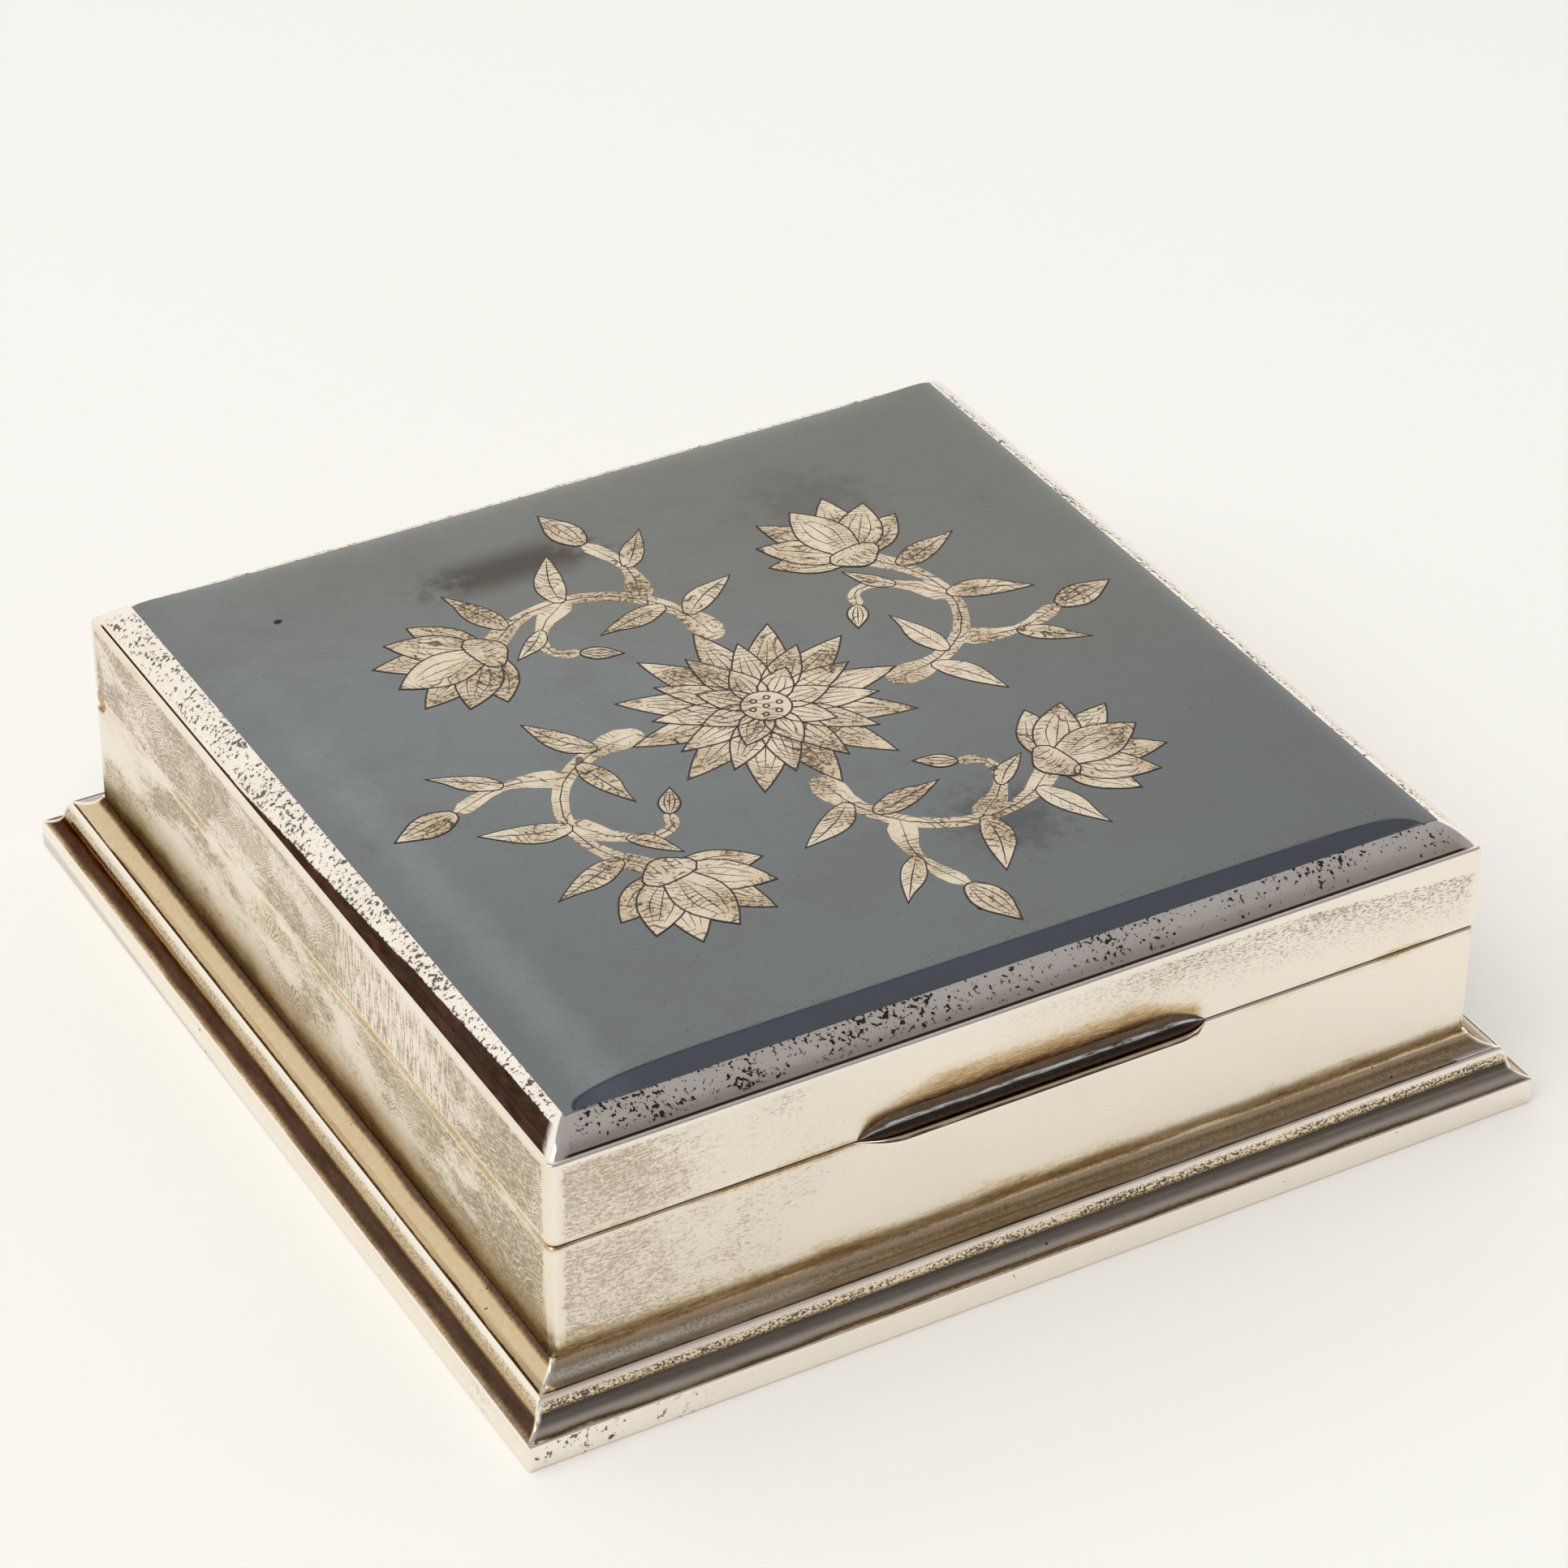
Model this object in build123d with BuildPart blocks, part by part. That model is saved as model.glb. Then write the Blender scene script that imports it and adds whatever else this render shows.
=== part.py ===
"""A square silver table box: moulded base, hinged lid with a niello panel, cedar lining."""
import os
from math import radians, tan

from build123d import *

os.makedirs("parts", exist_ok=True)

# All lengths are in millimetres, +Z is up, the front faces -Y, and the origin is
# the centre of the footprint on the table.

# Body
body_width = 90.0
body_depth = 90.0
wall_thickness = 1.0
corner_radius = 0.8
parting_height = 18.0
parting_gap = 0.12
parting_bevel = 0.15
underside_recess = 0.6
bottom_plate_thickness = 0.8

# Base moulding, from the table up: fascia, hollow, band and cove
fascia_height = 2.6
hollow_rise = 1.7
hollow_reach = 1.7
hollow_sag = 0.5
band_rise = 1.1
band_lean = 0.45
cove_rise = 1.3
cove_reach = 2.35
cove_sag = 0.45

# Cedar lining
lining_thickness = 2.0
floor_thickness = 2.0
lining_clearance = 0.1
lining_rim_drop = 0.4

# Lid
lid_wall_height = 8.3
lid_edge_radius = 0.25
reveal_width = 0.45
border_width = 2.6
border_rise = 1.95
border_bulge = 0.25
sheet_thickness = 0.75
pocket_margin = 2.2
lid_lining_thickness = 1.5

# Niello panel
niello_depth = 0.4
crown_width = 3.0
crown_rise = 0.5

# Thumbpiece
thumb_length = 34.0
thumb_end_taper = 1.8
thumb_projection = 2.0
thumb_height = 1.8
thumb_crest_share = 0.95
thumb_lip = 0.4
thumb_rim = 0.2
thumb_sag = 0.4
thumb_corner_radius = 1.2

# Hinge
knuckle_count = 7
knuckle_radius = 1.1
knuckle_clearance = 0.15
knuckle_side_gap = 0.1
hinge_back_margin = 0.15
hinge_end_inset = 0.2
pin_radius = 0.6
pin_clearance = 0.03
bearer_web = 0.5
bearer_floor = 1.5
lid_open_angle = 100.0
groove_spare_angle = 1.0

# Cuts run past the faces that they open by this much
overrun = 1.0

# Places worked out from the sizes above
half_width = body_width / 2
half_depth = body_depth / 2
inner_width = body_width - 2 * wall_thickness
inner_depth = body_depth - 2 * wall_thickness
body_top = parting_height - parting_gap / 2
lid_bottom = parting_height + parting_gap / 2
lid_wall_top = parting_height + lid_wall_height
plate_top = underside_recess + bottom_plate_thickness
floor_top = plate_top + floor_thickness

hinge_y = half_depth - hinge_back_margin - knuckle_radius
channel_radius = knuckle_radius + knuckle_clearance
bearer_front = hinge_y - channel_radius - bearer_web
bearer_back = half_depth - wall_thickness
bearer_height = channel_radius + bearer_floor
hinge_length = body_width - 2 * hinge_end_inset
knuckle_pitch = hinge_length / knuckle_count
groove_angle = lid_open_angle / 2 + groove_spare_angle

border_top = lid_wall_top + border_rise
crown_top = border_top + crown_rise
panel_inset = reveal_width + border_width
panel_width = body_width - 2 * panel_inset
panel_depth = body_depth - 2 * panel_inset
niello_floor = border_top - niello_depth
pocket_top = niello_floor - sheet_thickness
pocket_width = panel_width + 2 * (border_width - pocket_margin)
pocket_depth = panel_depth + 2 * (border_width - pocket_margin)

outward_directions = {
    "front": Vector(0, -1, 0),
    "back": Vector(0, 1, 0),
    "left": Vector(-1, 0, 0),
    "right": Vector(1, 0, 0),
}


def save(piece, name):
    piece.part.label = name
    export_step(piece.part, f"parts/{name}.step")


def bowed_middle(start, end, sag):
    """Middle point of an arc from start to end that swells sag to the left of its chord."""
    chord = Vector(*end) - Vector(*start)
    left = Vector(-chord.Y, chord.X).normalized()
    return (Vector(*start) + Vector(*end)) / 2 + left * sag


def mitre_planes(outward):
    """The two mitre planes that part one side's length from its neighbours."""
    along = Vector(-outward.Y, outward.X, 0)
    corner_out = Vector(outward.X * half_width, outward.Y * half_depth, 0)
    corner_along = Vector(along.X * half_width, along.Y * half_depth, 0)
    return [
        Plane(origin=corner_out + corner_along * end, z_dir=along * end - outward)
        for end in (1, -1)
    ]


# Groove along the back edge for the hinge: a round channel and a bevel that lets the
# lid swing back, once below the parting for the body and once above it for the lid
groove_reach = half_depth - hinge_y + overrun
groove_fall = groove_reach * tan(radians(groove_angle))


def bevel_corners(up):
    """Corners of the bevel's section; up is 1 for the lid and -1 for the body."""
    return [
        (hinge_y, parting_height),
        (hinge_y + groove_reach, parting_height),
        (hinge_y + groove_reach, parting_height + up * groove_fall),
    ]


def hinge_groove(up):
    """Cutter for the lid's or the body's half of the groove."""
    with BuildPart() as groove:
        with BuildSketch(Plane.YZ):
            with BuildLine():
                Polyline(*bevel_corners(up), close=True)
            make_face()
            with Locations((hinge_y, parting_height)):
                Circle(channel_radius)
        extrude(amount=half_width + overrun, both=True)
    return groove.part


body_groove = hinge_groove(-1)
lid_groove = hinge_groove(1)


# Base moulding: four mitred lengths around the foot of the walls
def moulding_length(outward):
    wall_foot = Vector(outward.X * half_width, outward.Y * half_depth, 0)
    profile_plane = Plane(origin=wall_foot, x_dir=outward, z_dir=outward.cross(Vector(0, 0, 1)))
    cove_foot = (cove_reach, fascia_height + hollow_rise + band_rise)
    hollow_top = (cove_reach + band_lean, fascia_height + hollow_rise)
    fascia_top = (cove_reach + band_lean + hollow_reach, fascia_height)
    cove_top = (0, cove_foot[1] + cove_rise)
    with BuildPart() as length:
        with BuildSketch(profile_plane):
            with BuildLine():
                Polyline((0, 0), (fascia_top[0], 0), fascia_top)
                ThreePointArc(fascia_top, bowed_middle(fascia_top, hollow_top, hollow_sag), hollow_top)
                Line(hollow_top, cove_foot)
                ThreePointArc(cove_foot, bowed_middle(cove_foot, cove_top, cove_sag), cove_top)
                Line(cove_top, (0, 0))
            make_face()
        extrude(amount=half_width + half_depth, both=True)
        for plane in mitre_planes(outward):
            split(bisect_by=plane, keep=Keep.BOTTOM)
    return length


for side, outward in outward_directions.items():
    save(moulding_length(outward), f"base_moulding_{side}")


# Body walls: four mitred sheets, rounded at the outer corners
def body_wall(outward):
    with BuildPart() as wall:
        with BuildSketch(Plane.XY.offset(underside_recess)):
            RectangleRounded(body_width, body_depth, corner_radius)
            Rectangle(inner_width, inner_depth, mode=Mode.SUBTRACT)
        extrude(amount=body_top - underside_recess)
        rim = wall.faces().sort_by(Axis.Z)[-1]
        chamfer(rim.outer_wire().edges(), length=parting_bevel)
        for plane in mitre_planes(outward):
            split(bisect_by=plane, keep=Keep.BOTTOM)
        add(body_groove, mode=Mode.SUBTRACT)
    return wall


for side, outward in outward_directions.items():
    save(body_wall(outward), f"body_wall_{side}")


# Bottom plate, let in between the walls above the table
with BuildPart() as bottom_plate:
    with BuildSketch(Plane.XY.offset(underside_recess)):
        Rectangle(inner_width, inner_depth)
    extrude(amount=bottom_plate_thickness)
save(bottom_plate, "bottom_plate")


# Cedar lining: a floor, front and back boards across it, side boards between them
lining_outer_width = inner_width - 2 * lining_clearance
lining_outer_depth = inner_depth - 2 * lining_clearance
lining_rim = body_top - lining_rim_drop
back_board_top = body_top - bearer_height - lining_clearance
cross_board_y = (lining_outer_depth - lining_thickness) / 2
side_board_x = (lining_outer_width - lining_thickness) / 2
side_board_front = lining_thickness - lining_outer_depth / 2
side_board_back = min(bearer_front - lining_clearance, lining_outer_depth / 2 - lining_thickness)

with BuildPart() as lining_floor:
    with BuildSketch(Plane.XY.offset(plate_top)):
        Rectangle(lining_outer_width, lining_outer_depth)
    extrude(amount=floor_thickness)
save(lining_floor, "lining_floor")

for side, y, top in (("front", -cross_board_y, lining_rim), ("back", cross_board_y, back_board_top)):
    with BuildPart() as cross_board:
        with BuildSketch(Plane.XY.offset(floor_top)):
            with Locations((0, y)):
                Rectangle(lining_outer_width, lining_thickness)
        extrude(amount=top - floor_top)
    save(cross_board, f"lining_{side}")

for side, x in (("left", -side_board_x), ("right", side_board_x)):
    with BuildPart() as side_board:
        with BuildSketch(Plane.XY.offset(floor_top)):
            with Locations((x, (side_board_front + side_board_back) / 2)):
                Rectangle(lining_thickness, side_board_back - side_board_front)
        extrude(amount=lining_rim - floor_top)
    save(side_board, f"lining_{side}")


# Lid walls: mitred sheets that carry on the body walls above the parting
def lid_wall(outward):
    with BuildPart() as wall:
        with BuildSketch(Plane.XY.offset(lid_bottom)):
            RectangleRounded(body_width, body_depth, corner_radius)
            Rectangle(inner_width, inner_depth, mode=Mode.SUBTRACT)
        extrude(amount=lid_wall_top - lid_bottom)
        lower_rim = wall.faces().sort_by(Axis.Z)[0]
        chamfer(lower_rim.outer_wire().edges(), length=parting_bevel)
        upper_rim = wall.faces().sort_by(Axis.Z)[-1]
        fillet(upper_rim.outer_wire().edges(), radius=lid_edge_radius)
        for plane in mitre_planes(outward):
            split(bisect_by=plane, keep=Keep.BOTTOM)
        add(lid_groove, mode=Mode.SUBTRACT)
    return wall


for side, outward in outward_directions.items():
    save(lid_wall(outward), f"lid_wall_{side}")


# Lid top: a sheet with a cushioned border, sunk for the niello and hollow beneath
with BuildPart() as lid_top:
    for plane, half_span, half_run, crossing in (
        (Plane.XZ, half_width, half_depth, Mode.ADD),
        (Plane.YZ, half_depth, half_width, Mode.INTERSECT),
    ):
        foot = half_span - reveal_width
        head = foot - border_width
        with BuildSketch(plane):
            with BuildLine():
                Line((-foot, lid_wall_top), (foot, lid_wall_top))
                ThreePointArc(
                    (foot, lid_wall_top),
                    bowed_middle((head, border_top), (foot, lid_wall_top), border_bulge),
                    (head, border_top),
                )
                Line((head, border_top), (-head, border_top))
                ThreePointArc(
                    (-head, border_top),
                    bowed_middle((-foot, lid_wall_top), (-head, border_top), border_bulge),
                    (-foot, lid_wall_top),
                )
            make_face()
        extrude(amount=half_run, both=True, mode=crossing)
    with BuildSketch(Plane.XY.offset(niello_floor)):
        Rectangle(panel_width, panel_depth)
    extrude(amount=niello_depth + overrun, mode=Mode.SUBTRACT)
    with BuildSketch(Plane.XY.offset(pocket_top)):
        Rectangle(pocket_width, pocket_depth)
    extrude(amount=lid_wall_top - pocket_top - overrun, mode=Mode.SUBTRACT)
save(lid_top, "lid_top")


# Niello panel: flush with the border, crowned towards a flat middle
with BuildPart() as niello_panel:
    for plane, span, half_run, crossing in (
        (Plane.XZ, panel_width, half_depth, Mode.ADD),
        (Plane.YZ, panel_depth, half_width, Mode.INTERSECT),
    ):
        edge = span / 2
        flat = edge - crown_width
        with BuildSketch(plane):
            with BuildLine():
                Polyline((-edge, border_top), (-edge, niello_floor), (edge, niello_floor), (edge, border_top))
                TangentArc((flat, crown_top), (edge, border_top), tangent=(1, 0))
                Line((flat, crown_top), (-flat, crown_top))
                TangentArc((-flat, crown_top), (-edge, border_top), tangent=(-1, 0))
            make_face()
        extrude(amount=half_run, both=True, mode=crossing)
save(niello_panel, "niello_panel")


# Lid lining: a cedar board with a raised field that backs the thin sheet
with BuildPart() as lid_lining:
    with BuildSketch(Plane.XY.offset(lid_wall_top - lid_lining_thickness)):
        Rectangle(lining_outer_width, lining_outer_depth)
    extrude(amount=lid_lining_thickness)
    with BuildSketch(Plane.XY.offset(lid_wall_top)):
        Rectangle(pocket_width - 2 * lining_clearance, pocket_depth - 2 * lining_clearance)
    extrude(amount=pocket_top - lid_wall_top - lining_clearance)
save(lid_lining, "lid_lining")


# Thumbpiece: a hollowed lip on the lid's lower front edge, drawn in towards its ends
thumb_half = thumb_length / 2
thumb_front_half = thumb_half - thumb_end_taper
thumb_top = lid_bottom + thumb_height
thumb_crest = lid_bottom + thumb_height * thumb_crest_share
thumb_lip_top = lid_bottom + thumb_lip
wall_front = -half_depth
lip_front = wall_front - thumb_projection
lip_back = lip_front + thumb_rim

with BuildPart() as thumbpiece:
    with BuildSketch(Plane.XY.offset(lid_bottom)) as plan:
        with BuildLine():
            Polyline(
                (-thumb_half, wall_front),
                (-thumb_front_half, lip_front),
                (thumb_front_half, lip_front),
                (thumb_half, wall_front),
                close=True,
            )
        make_face()
        fillet(plan.vertices().group_by(Axis.Y)[0], radius=thumb_corner_radius)
    extrude(amount=thumb_height + overrun)
    with BuildSketch(Plane.YZ):
        with BuildLine():
            Polyline(
                (wall_front, thumb_top),
                (wall_front + overrun, thumb_top),
                (wall_front + overrun, lid_bottom - overrun),
                (lip_front - overrun, lid_bottom - overrun),
                (lip_front - overrun, thumb_lip_top),
                (lip_back, thumb_lip_top),
            )
            ThreePointArc(
                (lip_back, thumb_lip_top),
                bowed_middle((wall_front, thumb_top), (lip_back, thumb_lip_top), thumb_sag),
                (wall_front, thumb_top),
            )
        make_face()
    extrude(amount=thumb_half + overrun, both=True, mode=Mode.INTERSECT)
    with BuildSketch(Plane.XZ):
        with BuildLine():
            Polyline(
                (-thumb_half, thumb_lip_top),
                (-thumb_half - overrun, thumb_lip_top),
                (-thumb_half - overrun, lid_bottom - overrun),
                (thumb_half + overrun, lid_bottom - overrun),
                (thumb_half + overrun, thumb_lip_top),
                (thumb_half, thumb_lip_top),
            )
            ThreePointArc((thumb_half, thumb_lip_top), (0, thumb_crest), (-thumb_half, thumb_lip_top))
        make_face()
    extrude(amount=half_depth + thumb_projection + overrun, mode=Mode.INTERSECT)
save(thumbpiece, "thumbpiece")


# Hinge: two bearer strips with alternate knuckles, and the pin through them
def hinge_leaf(up, strip_edge, own_first):
    """One leaf; up is 1 for the lid's leaf, and own_first is its first knuckle's number."""
    with BuildPart() as leaf:
        with BuildSketch(Plane.YZ):
            with Locations(((bearer_front + bearer_back) / 2, strip_edge + up * bearer_height / 2)):
                Rectangle(bearer_back - bearer_front, bearer_height)
            with BuildLine():
                Polyline(*bevel_corners(up), close=True)
            make_face(mode=Mode.SUBTRACT)
        extrude(amount=inner_width / 2, both=True)
        for number in range(knuckle_count):
            own = number % 2 == own_first
            knuckle_start = number * knuckle_pitch - hinge_length / 2
            side_gap = knuckle_side_gap / 2 if own else -knuckle_side_gap / 2
            with BuildSketch(Plane.YZ.offset(knuckle_start + side_gap)):
                with Locations((hinge_y, parting_height)):
                    Circle(knuckle_radius if own else channel_radius)
            extrude(amount=knuckle_pitch - 2 * side_gap, mode=Mode.ADD if own else Mode.SUBTRACT)
        with BuildSketch(Plane.YZ):
            with Locations((hinge_y, parting_height)):
                Circle(pin_radius + pin_clearance)
        extrude(amount=half_width + overrun, both=True, mode=Mode.SUBTRACT)
    return leaf


save(hinge_leaf(-1, body_top, 0), "hinge_leaf_body")
save(hinge_leaf(1, lid_bottom, 1), "hinge_leaf_lid")

with BuildPart() as hinge_pin:
    with BuildSketch(Plane.YZ):
        with Locations((hinge_y, parting_height)):
            Circle(pin_radius)
    extrude(amount=hinge_length / 2, both=True)
save(hinge_pin, "hinge_pin")
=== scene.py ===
from math import cos, pi, radians, sin

import bpy
from mathutils import Matrix, Vector


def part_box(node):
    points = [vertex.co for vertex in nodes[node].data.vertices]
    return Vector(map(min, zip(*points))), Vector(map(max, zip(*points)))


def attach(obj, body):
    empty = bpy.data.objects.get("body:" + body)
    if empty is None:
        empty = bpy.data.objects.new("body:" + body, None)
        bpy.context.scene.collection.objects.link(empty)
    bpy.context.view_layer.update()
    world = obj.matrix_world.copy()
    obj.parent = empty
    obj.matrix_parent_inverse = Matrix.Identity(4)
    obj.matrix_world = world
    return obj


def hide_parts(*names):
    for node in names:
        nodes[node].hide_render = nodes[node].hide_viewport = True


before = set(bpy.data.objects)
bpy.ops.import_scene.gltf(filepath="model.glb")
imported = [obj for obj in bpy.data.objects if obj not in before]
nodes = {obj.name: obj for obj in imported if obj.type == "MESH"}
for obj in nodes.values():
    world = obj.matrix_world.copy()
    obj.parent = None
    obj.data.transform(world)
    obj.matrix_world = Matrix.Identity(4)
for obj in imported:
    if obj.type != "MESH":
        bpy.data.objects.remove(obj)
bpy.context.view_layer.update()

MM = 0.001
SIDES = ("front", "back", "left", "right")

# Places within touch are one place, places beyond apart are two; in millimetres
touch = 0.001
apart = 0.01
saw_touch = 0.0001
inlay_touch = 0.0005

# Edges that turn by fewer degrees are shaded smooth
smooth_below = 32

# Sizes from the frame, in millimetres
wall_face = -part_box("body_wall_front")[0].y / MM
base_face = -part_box("base_moulding_front")[0].y / MM
moulding_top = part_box("base_moulding_front")[1].z / MM
parting = (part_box("body_wall_front")[1].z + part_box("lid_wall_front")[0].z) / 2 / MM
lid_wall_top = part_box("lid_wall_front")[1].z / MM
border_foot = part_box("lid_top")[1].x / MM
border_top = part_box("lid_top")[1].z / MM
panel_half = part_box("niello_panel")[1].x / MM
panel_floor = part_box("niello_panel")[0].z / MM
crown_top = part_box("niello_panel")[1].z / MM
thumb_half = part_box("thumbpiece")[1].x / MM
thumb_front = -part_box("thumbpiece")[0].y / MM
thumb_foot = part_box("thumbpiece")[0].z / MM
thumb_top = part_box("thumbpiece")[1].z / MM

# Base moulding, from the table up: fascia, hollow, band, cove
fascia_height = 2.6
hollow_head = (wall_face + 2.8, 4.3)
hollow_sag = 0.5
hollow_steps = 8
band_head = (wall_face + 2.35, 5.4)
cove_sag = 0.45
cove_steps = 10
arris_round = 0.12
corner_seat = 0.3

# Lid top
border_bulge = 0.25
border_steps = 8
pocket_half = 42.35
pocket_top = 27.1
mitre_round = 0.45
crown_power = (40, 24)
corner_ease = 0.85
corner_power = 10
ground_drop = 0.06
ground_grid = 168

# Thumbpiece; its hollow and nose are shares of its reach and height
thumb_end = 4.0
thumb_tip = 0.05
fall_power = 2.2
lip_grid = (96, 24)
hollow_at = 0.55
hollow_height = 0.20
nose_at = 0.86
nose_height = 0.38
nose_drop = 0.14
nose_row = 0.72

# Inlay
inlay_depth = 0.05
inlay_lift = 0.01
layer_step = 0.006
cut_share = 0.85
cut_lift = 0.75
cut_flatness = 0.02
longest_edge = 2.5
design_scale = 1.2


class Value:
    """A number that varies over a surface; sums and products of it add nodes to their owner."""

    def __init__(self, owner, socket):
        self.owner = owner
        self.socket = socket

    def __add__(self, other):
        return self.owner.math("ADD", self, other)

    def __mul__(self, other):
        return self.owner.math("MULTIPLY", self, other)

    def __sub__(self, other):
        return self.owner.math("SUBTRACT", self, other)

    def __rsub__(self, other):
        return self.owner.math("SUBTRACT", other, self)

    def __truediv__(self, other):
        return self.owner.math("DIVIDE", self, other)

    def __abs__(self):
        return self.owner.math("ABSOLUTE", self)

    __radd__ = __add__
    __rmul__ = __mul__

    def sway(self, amount):
        """Noise about zero, of the given amount."""
        return self.owner.math("MULTIPLY_ADD", self, 2 * amount, -amount)

    def fade(self, at_zero, at_one):
        """Smooth step from 0 where the value is at_zero to 1 where it is at_one."""
        low, high, ends = at_zero, at_one, (0.0, 1.0)
        if at_zero > at_one:
            low, high, ends = at_one, at_zero, (1.0, 0.0)
        inputs = {"Value": self, "From Min": low, "From Max": high, "To Min": ends[0], "To Max": ends[1]}
        return self.owner.node("MapRange", inputs, interpolation_type="SMOOTHSTEP")


def most(first, *others):
    for other in others:
        first = first.owner.math("MAXIMUM", first, other)
    return first


def least(first, *others):
    for other in others:
        first = first.owner.math("MINIMUM", first, other)
    return first


class Nodes:
    """A node tree under construction, with short calls for the nodes it is made of."""

    def __init__(self, tree, coordinates, scale=1.0):
        self.tree = tree
        self.place = self.node("TexCoord", {}, coordinates)
        if scale != 1.0:
            self.place = self.node("VectorMath", {0: self.place, "Scale": scale}, operation="SCALE")
        axes = tree.nodes.new("ShaderNodeSeparateXYZ")
        self.feed(axes.inputs[0], self.place)
        self.x, self.y, self.z = (Value(self, axis) for axis in axes.outputs)

    def node(self, kind, inputs, output=0, **settings):
        """Adds a node with its settings and inputs, and gives one of its outputs."""
        node = self.tree.nodes.new("ShaderNode" + kind)
        for name, setting in settings.items():
            setattr(node, name, setting)
        for name, value in inputs.items():
            self.feed(node.inputs[name], value)
        return Value(self, node.outputs[output])

    def feed(self, socket, value):
        if isinstance(value, Value):
            self.tree.links.new(value.socket, socket)
        elif isinstance(value, tuple) and len(value) == 3 and socket.type == "RGBA":
            socket.default_value = (*value, 1)
        else:
            socket.default_value = value

    def math(self, operation, *values):
        return self.node("Math", dict(enumerate(values)), operation=operation)

    def vector_math(self, operation, *values):
        output = "Value" if operation == "DOT_PRODUCT" else "Vector"
        return self.node("VectorMath", dict(enumerate(values)), output, operation=operation)

    def ramp(self, value, stops):
        node = self.tree.nodes.new("ShaderNodeValToRGB")
        elements = node.color_ramp.elements
        while len(elements) < len(stops):
            elements.new(1.0)
        for element, (position, colour) in zip(elements, stops):
            element.position = position
            element.color = (*colour, 1) if isinstance(colour, tuple) else (colour, colour, colour, 1)
        self.feed(node.inputs[0], value)
        return Value(self, node.outputs[0])

    def blend(self, amount, first, second):
        node = self.tree.nodes.new("ShaderNodeMix")
        node.data_type = "RGBA"
        colours = [socket for socket in node.inputs if socket.type == "RGBA"]
        self.feed(node.inputs["Factor"], amount)
        self.feed(colours[0], first)
        self.feed(colours[1], second)
        return Value(self, next(socket for socket in node.outputs if socket.type == "RGBA"))


class Finish(Nodes):
    """A material under construction; its places are in millimetres."""

    def __init__(self, name):
        self.material = bpy.data.materials.new(name)
        self.material.use_nodes = True
        super().__init__(self.material.node_tree, "Object", 1 / MM)
        self.shader = self.tree.nodes["Principled BSDF"]

    def cloud_place(self, size, stretch=(1, 1, 1), seed=0.0, place=None):
        """Places counted in features of noise, moved by the seed."""
        scale = tuple(1 / (size * s) for s in stretch)
        shift = (seed, 1.7 * seed, 2.3 * seed)
        return self.vector_math("MULTIPLY_ADD", place or self.place, scale, shift)

    def noise(self, size, detail=3.0, roughness=0.55, distortion=0.0, **place):
        """Cloudy noise with features about size millimetres across."""
        inputs = {"Vector": self.cloud_place(size, **place), "Scale": 1.0, "Detail": detail,
                  "Roughness": roughness, "Distortion": distortion}
        return self.node("TexNoise", inputs)

    def swirled(self, size, amount, seed=0.0):
        """Places moved by up to amount millimetres, in swirls about size millimetres across."""
        swirl = self.node("TexNoise", {"Vector": self.cloud_place(size, seed=seed), "Scale": 1.0}, "Color")
        return self.vector_math("MULTIPLY_ADD", swirl, (2 * amount,) * 3, self.place)

    def attribute(self, name):
        return self.node("Attribute", {}, "Fac", attribute_name=name)

    def left_side(self):
        """1 on the left of the box, as far as the mitres."""
        return (abs(self.y) - abs(self.x)).fade(0.05, -0.05) * self.x.fade(0.0, -1.0)

    def distance(self, first, first_at, second, second_at):
        """How far a pair of values is from the pair it has at a given point."""
        dx = first - first_at
        dy = second - second_at
        return self.math("SQRT", dx * dx + dy * dy)

    def spot(self, x, y, reach, edge):
        """A round mark on the lid: 1 at its middle, 0 beyond its reach, softened over edge."""
        distance = self.distance(self.x, x, self.y, y) + self.noise(1.6, 4, 0.6).sway(edge)
        return distance.fade(reach, reach - edge)

    def bump(self, height, depth):
        """Relief from a height between 0 and 1 that is depth millimetres deep."""
        relief = self.node("Bump", {"Distance": depth * MM, "Height": height})
        self.feed(self.shader.inputs["Normal"], relief)

    def set(self, **values):
        for name, value in values.items():
            self.feed(self.shader.inputs[name.replace("_", " ").title()], value)


# Silver, from bright metal through straw, gold and brown tarnish to black, with a dark colour used both for
# tarnish and for painted shade, and a pale blue-grey painted highlight
SILVER = (0.92, 0.865, 0.785)
STAIN = ((0.0, SILVER), (0.22, (0.86, 0.78, 0.64)), (0.45, (0.66, 0.52, 0.32)), (0.65, (0.40, 0.26, 0.12)),
         (0.83, (0.15, 0.10, 0.065)), (1.0, (0.035, 0.028, 0.024)))
FILM = (0.36, 0.265, 0.16)
DARK_TARNISH_AND_SHADE = (0.062, 0.052, 0.047)
RUST = ((0.040, 0.020, 0.014), (0.082, 0.040, 0.026))
PAINTED_HIGHLIGHT_COLOUR = (0.52, 0.58, 0.60)
PIT = (0.048, 0.039, 0.034)


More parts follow.
